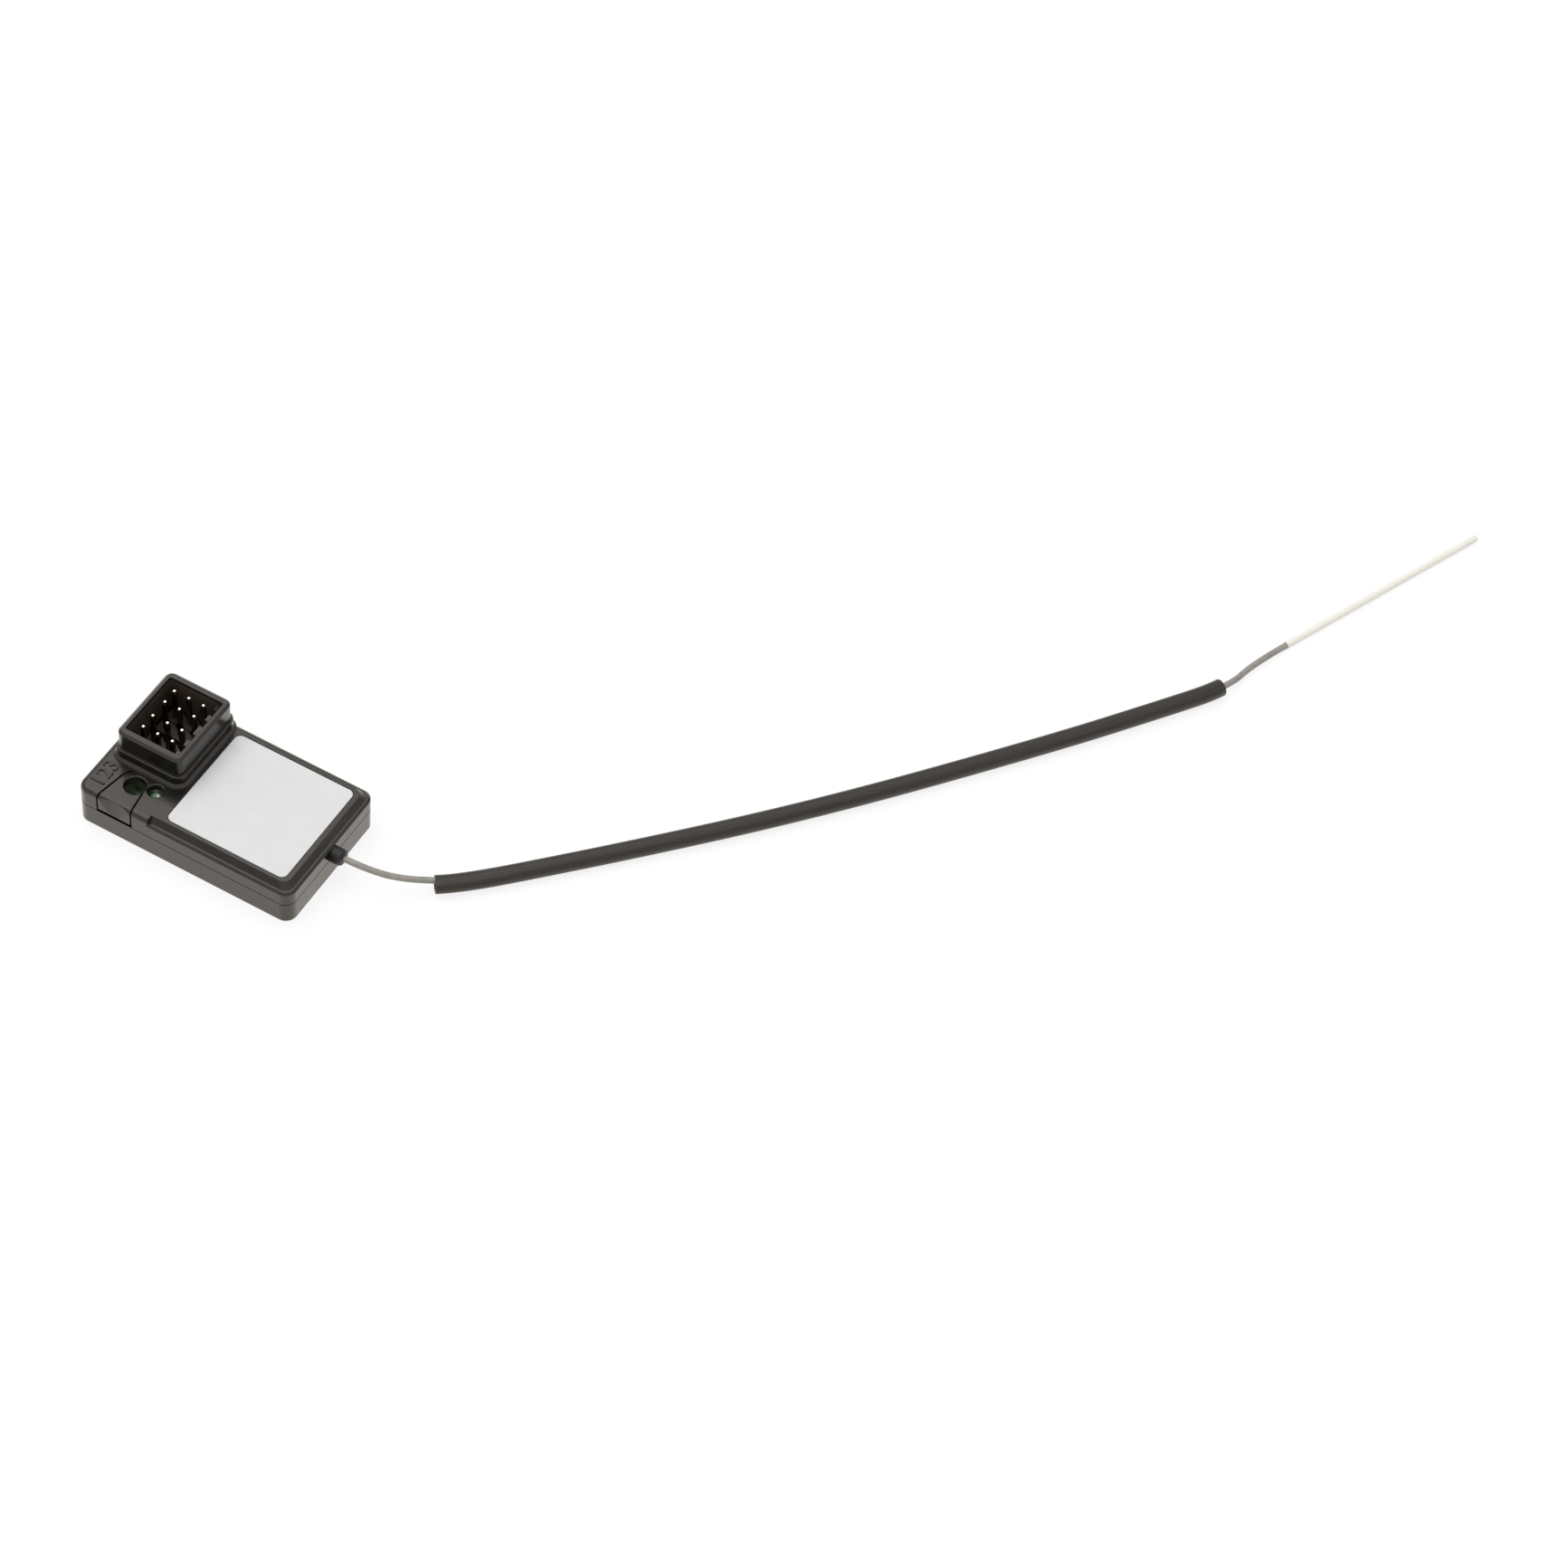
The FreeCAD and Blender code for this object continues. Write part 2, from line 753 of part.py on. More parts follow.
def make_strip(y):
    """One three-way header strip, notched at its pitch lines."""
    length = pin_pitch * pins_per_row
    strip = block(
        header_x - length / 2, header_x + length / 2, y - strip_width / 2, y + strip_width / 2,
        board_top, strip_top,
    )
    cuts = [
        block(x - pin_size / 2, x + pin_size / 2, y - pin_size / 2, y + pin_size / 2, 0, far)
        for x in pin_places
    ]
    for i in range(1, pins_per_row):
        x = header_x - length / 2 + i * pin_pitch
        for side in (-1, 1):
            notch = block(-strip_notch, strip_notch, -strip_notch, strip_notch, 0, far)
            notch.rotate(Vector(0, 0, 0), Vector(0, 0, 1), 45)
            notch.translate(Vector(x, y + side * strip_width / 2, 0))
            cuts.append(notch)
    return strip.cut(cuts)


def square(x, y, size, z):
    """A closed square outline centred on (x, y)."""
    half = size / 2
    corners = [(-half, -half), (half, -half), (half, half), (-half, half), (-half, -half)]
    return Part.makePolygon([Vector(x + dx, y + dy, z) for dx, dy in corners])


def make_pin(x, y):
    """A square header pin with a tapered point."""
    foot = board_bottom - pin_tail
    top = strip_top + pin_exposed
    half = pin_size / 2
    shoulder = top - pin_taper
    shaft = block(x - half, x + half, y - half, y + half, foot, shoulder)
    point = Part.makeLoft([square(x, y, pin_size, shoulder), square(x, y, pin_tip_size, top)], True, True)
    return shaft.fuse(point)


def make_regulator():
    """A voltage regulator with its heat tab on the board."""
    body = package(regulator_place)
    length, width = regulator_place[2:4]
    x, y = board_place(regulator_place)
    tab = block(
        x - length / 2 - tab_length, x + length / 2 + tab_length, y - width / 4, y + width / 4,
        board_top, board_top + tab_height,
    )
    return body.fuse(tab).removeSplitter()


def make_lamp_base():
    """The body of the status lamp, under its hole in the deck."""
    length, width, height = lamp_base
    return block(
        lamp_hole_x - length / 2, lamp_hole_x + length / 2, lamp_hole_y - width / 2, lamp_hole_y + width / 2,
        board_top, board_top + height,
    )


def make_lamp_lens():
    """The lamp's clear lens: a short barrel with a bevelled top."""
    low = board_top + lamp_base[2]
    lens = Part.makeCylinder(lamp_lens_radius, lamp_lens_height, Vector(lamp_hole_x, lamp_hole_y, low))
    return lens.makeChamfer(lamp_lens_radius / 2, level_edges(lens, low + lamp_lens_height))


def make_test_pads():
    """Two gold test pads on the board, seen through the larger hole."""
    places = [
        (access_hole_x + pad_offset, access_hole_y - pad_offset / 2),
        (access_hole_x - pad_offset, access_hole_y),
    ]
    return Part.makeCompound([
        eight_sided(x, y, pad_radius, board_top, board_top + pad_thickness) for x, y in places
    ])


def chip_row(start, count, height):
    """A row of like chip parts, as separate solids."""
    x, y = start
    return Part.makeCompound([chip(x + i * chip_pitch, y, height) for i in range(count)])


def save(name, shape):
    """Write one piece to its own file."""
    shape.exportStep(os.path.join("parts", name + ".step"))


os.makedirs("parts", exist_ok=True)

save("bottom_shell", make_bottom_shell())
save("top_shell", make_top_shell())
save("label", make_label())
save("antenna_grommet", make_grommet())
save("antenna_coax", tube(from_wall(coax_route), coax_diameter))
save("antenna_sleeve", make_sleeve())
save("antenna_tip", make_tip())
save("radiating_wire", make_tip_wire())
save("coax_inner_lead", make_inner_lead())
save("coax_inner_core", make_inner_core())
save("ground_clip", make_clip())
save("circuit_board", make_board())

# Pins from the case's middle outwards: signal, power, ground
pin_names = ["ground_pin", "power_pin", "signal_pin"]
for row, row_y in enumerate(row_places, start=1):
    save(f"header_strip_{row}", make_strip(row_y))
    for pin_name, pin_x in zip(pin_names, pin_places):
        save(f"{pin_name}_{row}", make_pin(pin_x, row_y))

save("microcontroller", package(microcontroller_place))
save("radio_chip", package(radio_place))
save("crystal", package(crystal_place))
save("voltage_regulator", make_regulator())
save("bulk_capacitor", package(bulk_capacitor_place))
save("chip_capacitors", chip_row(capacitor_start, capacitor_count, chip_size[2]))
save("chip_resistors", chip_row(resistor_start, resistor_count, resistor_height))
save("status_lamp_base", make_lamp_base())
save("status_lamp_lens", make_lamp_lens())
save("test_pads", make_test_pads())

for route_name, route in (("coax", coax_route), ("sleeve", sleeve_route), ("tip", tip_route)):
    route_path, route_radii = pipe_path(from_wall(route))
    print(route_name, "length", round(route_path.Length, 1), "radii", [round(r, 1) for r in route_radii])
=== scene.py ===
import math

import bmesh
import bpy
from mathutils import Matrix, Vector


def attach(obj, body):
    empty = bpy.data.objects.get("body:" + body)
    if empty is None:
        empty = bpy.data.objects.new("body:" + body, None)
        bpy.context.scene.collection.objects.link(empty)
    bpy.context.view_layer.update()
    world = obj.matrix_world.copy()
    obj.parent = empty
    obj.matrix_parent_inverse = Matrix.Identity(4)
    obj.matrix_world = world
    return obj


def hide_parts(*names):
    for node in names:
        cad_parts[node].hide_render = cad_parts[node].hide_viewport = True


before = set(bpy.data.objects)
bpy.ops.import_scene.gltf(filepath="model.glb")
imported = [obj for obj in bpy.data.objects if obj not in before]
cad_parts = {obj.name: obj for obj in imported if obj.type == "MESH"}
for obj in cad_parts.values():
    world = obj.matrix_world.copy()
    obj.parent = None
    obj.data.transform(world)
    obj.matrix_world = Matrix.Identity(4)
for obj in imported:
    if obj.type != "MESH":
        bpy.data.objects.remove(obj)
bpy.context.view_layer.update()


# Case halves
# The two halves of the case are injection moulded from dark satin plastic and snap together.
# Their skin has a fine moulded grain, and every edge is a little rounded off. The walls inside the socket's
# well, from just below the rim down to the strips that hold the pins, are painted paler: painted light in the
# well's shade.

def start_material(name):
    """A new node material, with its nodes, its links and its main shader."""
    material = bpy.data.materials.new(name)
    material.use_nodes = True
    nodes = material.node_tree.nodes
    links = material.node_tree.links
    return material, nodes, links, nodes["Principled BSDF"]


def object_noise(nodes, links, scale, detail=3.0, stretch=(1.0, 1.0, 1.0), centre=(0.0, 0.0, 0.0)):
    """Noise that stays fixed to the piece, with an optional stretch."""
    place = nodes.new("ShaderNodeTexCoord")
    mapping = nodes.new("ShaderNodeMapping")
    mapping.inputs["Location"].default_value = centre
    mapping.inputs["Scale"].default_value = stretch
    noise = nodes.new("ShaderNodeTexNoise")
    noise.inputs["Scale"].default_value = scale
    noise.inputs["Detail"].default_value = detail
    links.new(place.outputs["Object"], mapping.inputs["Vector"])
    links.new(mapping.outputs["Vector"], noise.inputs["Vector"])
    return noise


def two_tones(nodes, links, factor, first, second, low=0.35, high=0.65):
    """A ramp between two colours."""
    ramp = nodes.new("ShaderNodeValToRGB")
    ramp.color_ramp.elements[0].position = low
    ramp.color_ramp.elements[0].color = (*first, 1.0)
    ramp.color_ramp.elements[1].position = high
    ramp.color_ramp.elements[1].color = (*second, 1.0)
    links.new(factor, ramp.inputs["Fac"])
    return ramp.outputs["Color"]


def spread(nodes, links, factor, low, high):
    """A number that runs from low to high as the factor goes from 0.3 to 0.7."""
    span = nodes.new("ShaderNodeMapRange")
    span.inputs["From Min"].default_value = 0.3
    span.inputs["From Max"].default_value = 0.7
    span.inputs["To Min"].default_value = low
    span.inputs["To Max"].default_value = high
    links.new(factor, span.inputs["Value"])
    return span.outputs["Result"]


def bumped(nodes, links, height, strength, distance, under=None):
    """A bump from a height, laid over another normal where one is given."""
    bump = nodes.new("ShaderNodeBump")
    bump.inputs["Strength"].default_value = strength
    bump.inputs["Distance"].default_value = distance
    links.new(height, bump.inputs["Height"])
    if under is not None:
        links.new(under, bump.inputs["Normal"])
    return bump.outputs["Normal"]


def finish_nodes(material, names):
    """Give CAD nodes their material."""
    for name in names:
        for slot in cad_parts[name].material_slots:
            slot.material = material


tone_scale = 190.0
grain_scale = 2600.0
grain_strength = 0.22
grain_depth = 0.00004
case_edge_radius = 0.00012
case_dark = (0.0065, 0.0058, 0.0052)
case_light = (0.0105, 0.0094, 0.0085)
case_gloss = 0.55
case_sheen = (1.0, 0.93, 0.86)
# A paler colour for the walls inside the socket's well: painted light that lifts their shade.
well_painted_light = (0.078, 0.059, 0.046)
well_past_strips_low = (0.0006, 0.00085, 0.0)
well_past_strips_high = (0.0004, 0.00085, 0.0)
well_below_rim = 0.00045


def inside_well(nodes, links):
    """One in the box of the socket's well, short of the keys on its inner wall, and nought elsewhere."""
    strips = [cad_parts[f"header_strip_{row}"].bound_box for row in range(1, 5)]
    corners = [corner for box in strips for corner in box]
    rim = max(corner[2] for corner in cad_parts["top_shell"].bound_box)
    low = [min(corner[axis] for corner in corners) - well_past_strips_low[axis] for axis in range(3)]
    high = [max(corner[axis] for corner in corners) + well_past_strips_high[axis] for axis in range(3)]
    high[2] = rim - well_below_rim
    place = nodes.new("ShaderNodeTexCoord")
    parts = nodes.new("ShaderNodeSeparateXYZ")
    links.new(place.outputs["Object"], parts.inputs["Vector"])
    inside = None
    for axis, letter in enumerate("XYZ"):
        near = nodes.new("ShaderNodeMath")
        near.operation = "COMPARE"
        near.inputs[1].default_value = (low[axis] + high[axis]) / 2
        near.inputs[2].default_value = (high[axis] - low[axis]) / 2
        links.new(parts.outputs[letter], near.inputs[0])
        if inside is None:
            inside = near.outputs["Value"]
            continue
        both = nodes.new("ShaderNodeMath")
        both.operation = "MULTIPLY"
        links.new(inside, both.inputs[0])
        links.new(near.outputs["Value"], both.inputs[1])
        inside = both.outputs["Value"]
    return inside


case_plastic, nodes, links, shader = start_material("case_plastic_satin")
tone = object_noise(nodes, links, tone_scale, 4.0)
grain = object_noise(nodes, links, grain_scale, 2.0)
# The box mask lays the paler colour on the well's walls: painted light in their shade.
well_light_mix = nodes.new("ShaderNodeMix")
well_light_mix.data_type = "RGBA"
well_light_mix.inputs["B"].default_value = (*well_painted_light, 1.0)
links.new(inside_well(nodes, links), well_light_mix.inputs["Factor"])
links.new(two_tones(nodes, links, tone.outputs["Fac"], case_dark, case_light), well_light_mix.inputs["A"])
links.new(well_light_mix.outputs["Result"], shader.inputs["Base Color"])
links.new(spread(nodes, links, tone.outputs["Fac"], 0.21, 0.28), shader.inputs["Roughness"])
shader.inputs["Specular IOR Level"].default_value = case_gloss
shader.inputs["Specular Tint"].default_value = (*case_sheen, 1.0)
soft_edge = nodes.new("ShaderNodeBevel")
soft_edge.samples = 4
soft_edge.inputs["Radius"].default_value = case_edge_radius
skin = bumped(nodes, links, grain.outputs["Fac"], grain_strength, grain_depth, soft_edge.outputs["Normal"])
links.new(skin, shader.inputs["Normal"])
finish_nodes(case_plastic, ["bottom_shell", "top_shell"])


# Digits on the deck
# Small plain figures are moulded proud of the deck along its end edge, in the case's own plastic.
# They are part of the upper half's moulding.

digit_height = 0.0024
figure_share = 0.7
digit_rise = 0.00017
digit_sunk = 0.00002
digit_place = Vector((-0.0151, -0.0073, 0.0074))

digit_text = bpy.data.curves.new("deck_digits_text", "FONT")
digit_text.body = "123"
digit_text.size = digit_height / figure_share
digit_text.align_x = "CENTER"
digit_text.extrude = (digit_rise + digit_sunk) / 2
digit_text.resolution_u = 4
digit_source = bpy.data.objects.new("deck_digits_source", digit_text)
bpy.context.scene.collection.objects.link(digit_source)
bpy.context.view_layer.update()
digit_mesh = bpy.data.meshes.new_from_object(digit_source)
bpy.data.objects.remove(digit_source)
digit_lift = Vector((0, 0, (digit_rise - digit_sunk) / 2))
digit_mesh.transform(Matrix.Translation(digit_place + digit_lift) @ Matrix.Rotation(math.radians(90), 4, "Z"))
deck_digits = bpy.data.objects.new("deck_digits", digit_mesh)
bpy.context.scene.collection.objects.link(deck_digits)
digit_mesh.materials.clear()
digit_mesh.materials.append(case_plastic)
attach(deck_digits, "root")


# Label
# A blank sticker of pale film with rounded corners lies in the shallow recess of the deck.

label_film, nodes, links, shader = start_material("label_film_pale")
mottle = object_noise(nodes, links, 260.0, 5.0)
fibre = object_noise(nodes, links, 2200.0, 3.0)
links.new(
    two_tones(nodes, links, mottle.outputs["Fac"], (0.765, 0.765, 0.765), (0.795, 0.795, 0.79)),
    shader.inputs["Base Color"],
)
links.new(spread(nodes, links, mottle.outputs["Fac"], 0.42, 0.52), shader.inputs["Roughness"])
links.new(bumped(nodes, links, fibre.outputs["Fac"], 0.1, 0.00002), shader.inputs["Normal"])
finish_nodes(label_film, ["label"])


# Pins and header strips
# Twelve square pins of plated brass stand in four black moulded strips at the bottom of the socket.
# Their shafts are painted dark below the tips, as painted shade down in the socket; the tips keep the
# plating's own colour.

# The dark shaft colour is painted shade, and it fades out over this reach below the pins' tops.
pin_shaft_shade = (0.20, 0.14, 0.09)
unshaded_tip_reach = 0.0006

pin_gold, nodes, links, shader = start_material("pin_gold_plate")
wear = object_noise(nodes, links, 900.0, 3.0)
pin_top = max(corner[2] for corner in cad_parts["signal_pin_1"].bound_box)
pin_place = nodes.new("ShaderNodeTexCoord")
pin_level = nodes.new("ShaderNodeSeparateXYZ")
pin_shade_fade = nodes.new("ShaderNodeMapRange")
pin_shade_fade.inputs["From Min"].default_value = pin_top - unshaded_tip_reach
pin_shade_fade.inputs["From Max"].default_value = pin_top - unshaded_tip_reach / 2
# This mix paints shade on the shafts below the tips.
pin_colour = nodes.new("ShaderNodeMix")
pin_colour.data_type = "RGBA"
pin_colour.inputs["A"].default_value = (*pin_shaft_shade, 1.0)
links.new(pin_place.outputs["Object"], pin_level.inputs["Vector"])
links.new(pin_level.outputs["Z"], pin_shade_fade.inputs["Value"])
links.new(pin_shade_fade.outputs["Result"], pin_colour.inputs["Factor"])
links.new(
    two_tones(nodes, links, wear.outputs["Fac"], (0.90, 0.82, 0.68), (0.96, 0.89, 0.76)),
    pin_colour.inputs["B"],
)
links.new(pin_colour.outputs["Result"], shader.inputs["Base Color"])
links.new(spread(nodes, links, wear.outputs["Fac"], 0.16, 0.22), shader.inputs["Roughness"])
shader.inputs["Metallic"].default_value = 1.0
pin_names = [f"{use}_pin_{row}" for use in ("signal", "power", "ground") for row in range(1, 5)]
finish_nodes(pin_gold, pin_names)

header_dark = (0.016, 0.0125, 0.0095)
header_light = (0.024, 0.0185, 0.0145)

header_plastic, nodes, links, shader = start_material("header_plastic_black")
pitting = object_noise(nodes, links, 1400.0, 3.0)
header_tone = two_tones(nodes, links, pitting.outputs["Fac"], header_dark, header_light)
links.new(header_tone, shader.inputs["Base Color"])
links.new(spread(nodes, links, pitting.outputs["Fac"], 0.4, 0.55), shader.inputs["Roughness"])
finish_nodes(header_plastic, [f"header_strip_{row}" for row in range(1, 5)])


# Circuit board and the parts on it
# The board is green glass epoxy under a solder mask. Black chips, tinned caps and a small lamp with a
# clear lens are soldered on it, and gold test pads lie under the larger hole.

board_green, nodes, links, shader = start_material("board_green_mask")
weave = object_noise(nodes, links, 1500.0, 2.0)
traces = object_noise(nodes, links, 420.0, 1.0, (1.0, 2.6, 1.0))
links.new(
    two_tones(nodes, links, traces.outputs["Fac"], (0.065, 0.09, 0.06), (0.17, 0.21, 0.12), 0.46, 0.56),
    shader.inputs["Base Color"],
)
links.new(bumped(nodes, links, weave.outputs["Fac"], 0.15, 0.00002), shader.inputs["Normal"])
shader.inputs["Roughness"].default_value = 0.3
shader.inputs["Coat Weight"].default_value = 0.4
finish_nodes(board_green, ["circuit_board"])

chip_epoxy, nodes, links, shader = start_material("chip_epoxy_black")
mould_grain = object_noise(nodes, links, 3000.0, 2.0)
links.new(
    two_tones(nodes, links, mould_grain.outputs["Fac"], (0.014, 0.014, 0.015), (0.024, 0.024, 0.025)),
    shader.inputs["Base Color"],
)
shader.inputs["Roughness"].default_value = 0.5
finish_nodes(chip_epoxy, ["microcontroller", "radio_chip", "voltage_regulator"])

tinned_metal, nodes, links, shader = start_material("tinned_metal")
dross = object_noise(nodes, links, 1100.0, 3.0)
links.new(
    two_tones(nodes, links, dross.outputs["Fac"], (0.55, 0.54, 0.52), (0.72, 0.71, 0.69)),
    shader.inputs["Base Color"],
)
links.new(spread(nodes, links, dross.outputs["Fac"], 0.25, 0.4), shader.inputs["Roughness"])
shader.inputs["Metallic"].default_value = 1.0
finish_nodes(tinned_metal, ["crystal", "ground_clip"])

capacitor_body, nodes, links, shader = start_material("capacitor_ceramic")
ceramic = object_noise(nodes, links, 1300.0, 2.0)
links.new(
    two_tones(nodes, links, ceramic.outputs["Fac"], (0.30, 0.20, 0.12), (0.38, 0.27, 0.17)),
    shader.inputs["Base Color"],
)
shader.inputs["Roughness"].default_value = 0.45
finish_nodes(capacitor_body, ["bulk_capacitor", "chip_capacitors", "chip_resistors"])

pad_gold, nodes, links, shader = start_material("test_pad_gold")
tarnish = object_noise(nodes, links, 1600.0, 2.0)
links.new(
    two_tones(nodes, links, tarnish.outputs["Fac"], (0.62, 0.58, 0.26), (0.80, 0.76, 0.42)),
    shader.inputs["Base Color"],
)
shader.inputs["Metallic"].default_value = 0.6
shader.inputs["Roughness"].default_value = 0.35
finish_nodes(pad_gold, ["test_pads"])

lamp_body, nodes, links, shader = start_material("lamp_body_pale")
resin = object_noise(nodes, links, 1200.0, 2.0)
links.new(
    two_tones(nodes, links, resin.outputs["Fac"], (0.26, 0.36, 0.27), (0.36, 0.46, 0.36)),
    shader.inputs["Base Color"],
)
shader.inputs["Roughness"].default_value = 0.4
finish_nodes(lamp_body, ["status_lamp_base"])

# The size and place of a small white spot on the lens, off its top to one side: a painted highlight.
glint_size = 0.00026
glint_offset = Vector((0.00046, 0.0001, -0.0001))

lamp_clear, nodes, links, shader = start_material("lamp_lens_clear")
haze = object_noise(nodes, links, 1500.0, 2.0)
lens_corners = [Vector(corner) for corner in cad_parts["status_lamp_lens"].bound_box]
lens_top = sum(lens_corners, Vector()) / 8
lens_top.z = max(corner.z for corner in lens_corners)
# The white spot is mixed into the lens colour here as a painted highlight.
glint_place = nodes.new("ShaderNodeTexCoord")
glint_range = nodes.new("ShaderNodeVectorMath")
glint_range.operation = "DISTANCE"
glint_range.inputs[1].default_value = lens_top + glint_offset
glint_seen = nodes.new("ShaderNodeMapRange")
glint_seen.inputs["From Min"].default_value = glint_size
glint_seen.inputs["From Max"].default_value = glint_size * 1.5
glint_colour = nodes.new("ShaderNodeMix")
glint_colour.data_type = "RGBA"
glint_colour.inputs["A"].default_value = (1.0, 1.0, 0.98, 1.0)
links.new(glint_place.outputs["Object"], glint_range.inputs[0])
links.new(glint_range.outputs["Value"], glint_seen.inputs["Value"])
links.new(glint_seen.outputs["Result"], glint_colour.inputs["Factor"])
links.new(
    two_tones(nodes, links, haze.outputs["Fac"], (0.14, 0.27, 0.16), (0.24, 0.38, 0.24)),
    glint_colour.inputs["B"],
)
links.new(glint_colour.outputs["Result"], shader.inputs["Base Color"])
shader.inputs["Roughness"].default_value = 0.06
shader.inputs["Transmission Weight"].default_value = 0.1
shader.inputs["Coat Weight"].default_value = 1.0
finish_nodes(lamp_clear, ["status_lamp_lens"])


# Antenna cable
# A thin coaxial cable with a grey jacket leaves the case through its bush, sinks to the table and
# runs in one easy curve. It is a free cord, and its route's points are those of the tube in the CAD.

cable_diameter = 0.001
cable_exit = (0.0185, 0.0, 0.0047)
cable_route = [
    cable_exit,
    (0.0234, 0.0, 0.0047),
    (0.0289, 0.0026, 0.00275),
    (0.0363, 0.0084, 0.00146),
    (0.0496, 0.0219, 0.0014),
    (0.0727, 0.0477, 0.0014),
    (0.0961, 0.0776, 0.0014),
    (0.1075, 0.0933, 0.0014),
    (0.1145, 0.1033, 0.0014),
    (0.11564, 0.11043, 0.00062),
    (0.11825, 0.1165, 0.00062),
]


def route_curve(name, route, diameter):
    """A NURBS curve with a route's points as its control points."""
    curve = bpy.data.curves.new(name, "CURVE")
    curve.dimensions = "3D"
    curve.resolution_u = 24
    curve.bevel_depth = diameter / 2
    curve.bevel_resolution = 7
    spline = curve.splines.new("NURBS")
    spline.points.add(len(route) - 1)
    for point, place in zip(spline.points, route):
        point.co = (*place, 1.0)
    spline.order_u = 3
    spline.use_endpoint_u = True
    return curve


coax_jacket, nodes, links, shader = start_material("coax_jacket_grey")
scuff = object_noise(nodes, links, 900.0, 4.0)
links.new(
    two_tones(nodes, links, scuff.outputs["Fac"], (0.27, 0.25, 0.225), (0.37, 0.345, 0.31)),
    shader.inputs["Base Color"],
)
links.new(spread(nodes, links, scuff.outputs["Fac"], 0.38, 0.55), shader.inputs["Roughness"])
links.new(bumped(nodes, links, scuff.outputs["Fac"], 0.2, 0.00003), shader.inputs["Normal"])

cable_curve = route_curve("antenna_cable", cable_route, cable_diameter)
cable_curve.use_fill_caps = True
cable_curve.materials.append(coax_jacket)
antenna_cable = bpy.data.objects.new("antenna_cable", cable_curve)
bpy.context.scene.collection.objects.link(antenna_cable)
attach(antenna_cable, "root")
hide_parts("antenna_coax")
finish_nodes(coax_jacket, ["coax_inner_lead"])

bare_copper, nodes, links, shader = start_material("bare_copper")
tinning = object_noise(nodes, links, 1200.0, 3.0)
links.new(
    two_tones(nodes, links, tinning.outputs["Fac"], (0.72, 0.40, 0.25), (0.86, 0.56, 0.38)),
    shader.inputs["Base Color"],
)
shader.inputs["Metallic"].default_value = 1.0
shader.inputs["Roughness"].default_value = 0.3
finish_nodes(bare_copper, ["coax_inner_core", "radiating_wire"])


# Antenna sleeve
# A length of black soft tube is slipped over the middle of the cable to stiffen it. Its ends are cut
# square, its mouth is a little flattened and hangs to one side of the cable, and a faint crease runs
# along its upper side.

sleeve_diameter = 0.0028
sleeve_wall = 0.0004
sleeve_start = Vector((0.0325, 0.0054, 0.0017))
sleeve_end = Vector((0.1137, 0.1025, 0.0014))
sleeve_sides = 40
sleeve_step = 0.0012
mouth_squash = 0.9
mouth_spread = 0.6
mouth_reach = 0.012
mouth_shift = Vector((0.00022, -0.0003, 0.0))
crease_depth = 0.05
crease_turn = math.radians(112)
crease_width = math.radians(13)
settled_share = 0.45
sleeve_edge = 0.00008
cut_angle = math.radians(50)


def route_points(route):
    """Points of a route's NURBS line with the length run up to each of them."""
    line = bpy.data.objects.new("route_line", route_curve("route_line", route, 0.0))
    bpy.context.scene.collection.objects.link(line)
    bpy.context.view_layer.update()
    mesh = bpy.data.meshes.new_from_object(line)
    points = [vertex.co.copy() for vertex in mesh.vertices]
    bpy.data.objects.remove(line)
    lengths = [0.0]
    for before, after in zip(points, points[1:]):
        lengths.append(lengths[-1] + (after - before).length)
    return points, lengths


def point_at(points, lengths, run):
    """The place at a run along the line."""
    for i in range(1, len(points)):
        if lengths[i] >= run:
            share = (run - lengths[i - 1]) / (lengths[i] - lengths[i - 1])
            return points[i - 1].lerp(points[i], share)
    return points[-1].copy()


def run_near(points, lengths, place):
    """The run along the line at which it comes nearest to a place in plan."""
    gaps = [(point.xy - place.xy).length for point in points]
    return lengths[gaps.index(min(gaps))]


def tube_ring(mesh, layer, centre, heading, width, height, sides, run):
    """One ring of a tube, square to its heading, with each point's place on the tube kept."""
    made = bmesh.ops.create_circle(mesh, cap_ends=False, segments=sides, radius=0.5)["verts"]
    for vert in made:
        vert[layer] = Vector((run, vert.co.x * 2, vert.co.y * 2))
    turn = heading.to_track_quat("Z", "Y").to_matrix().to_4x4()
    stretch = Matrix.Diagonal((width, height, 1.0, 1.0))
    bmesh.ops.transform(mesh, matrix=Matrix.Translation(centre) @ turn @ stretch, verts=made)
    return made


def join_rings(mesh, rings):
    """Skin between following rings."""
    for first, second in zip(rings, rings[1:]):
        both = set(first) | set(second)
        edges = {e for v in both for e in v.link_edges if e.other_vert(v) in both and not e.link_faces}
        edges |= {e for v in first for e in v.link_edges if e.other_vert(v) in set(first)}
        bmesh.ops.bridge_loops(mesh, edges=list(edges))


def add_piece(name, mesh, material):
    """A finished mesh as a piece that rides on the case."""
    data = bpy.data.meshes.new(name)
    mesh.to_mesh(data)
    mesh.free()
    data.materials.append(material)
    for polygon in data.polygons:
        polygon.use_smooth = True
    piece = bpy.data.objects.new(name, data)
    bpy.context.scene.collection.objects.link(piece)
    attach(piece, "root")
    return piece


def wall_inwards(piece, thickness, edge):
    """Give a skin its wall on the inside and soften the cut edges."""
    wall = piece.modifiers.new("wall", "SOLIDIFY")
    wall.thickness = thickness
    wall.offset = -1.0
    wall.use_rim = True
    soften = piece.modifiers.new("cut_edge", "BEVEL")
    soften.width = edge
    soften.segments = 2
    soften.limit_method = "ANGLE"
    soften.angle_limit = cut_angle


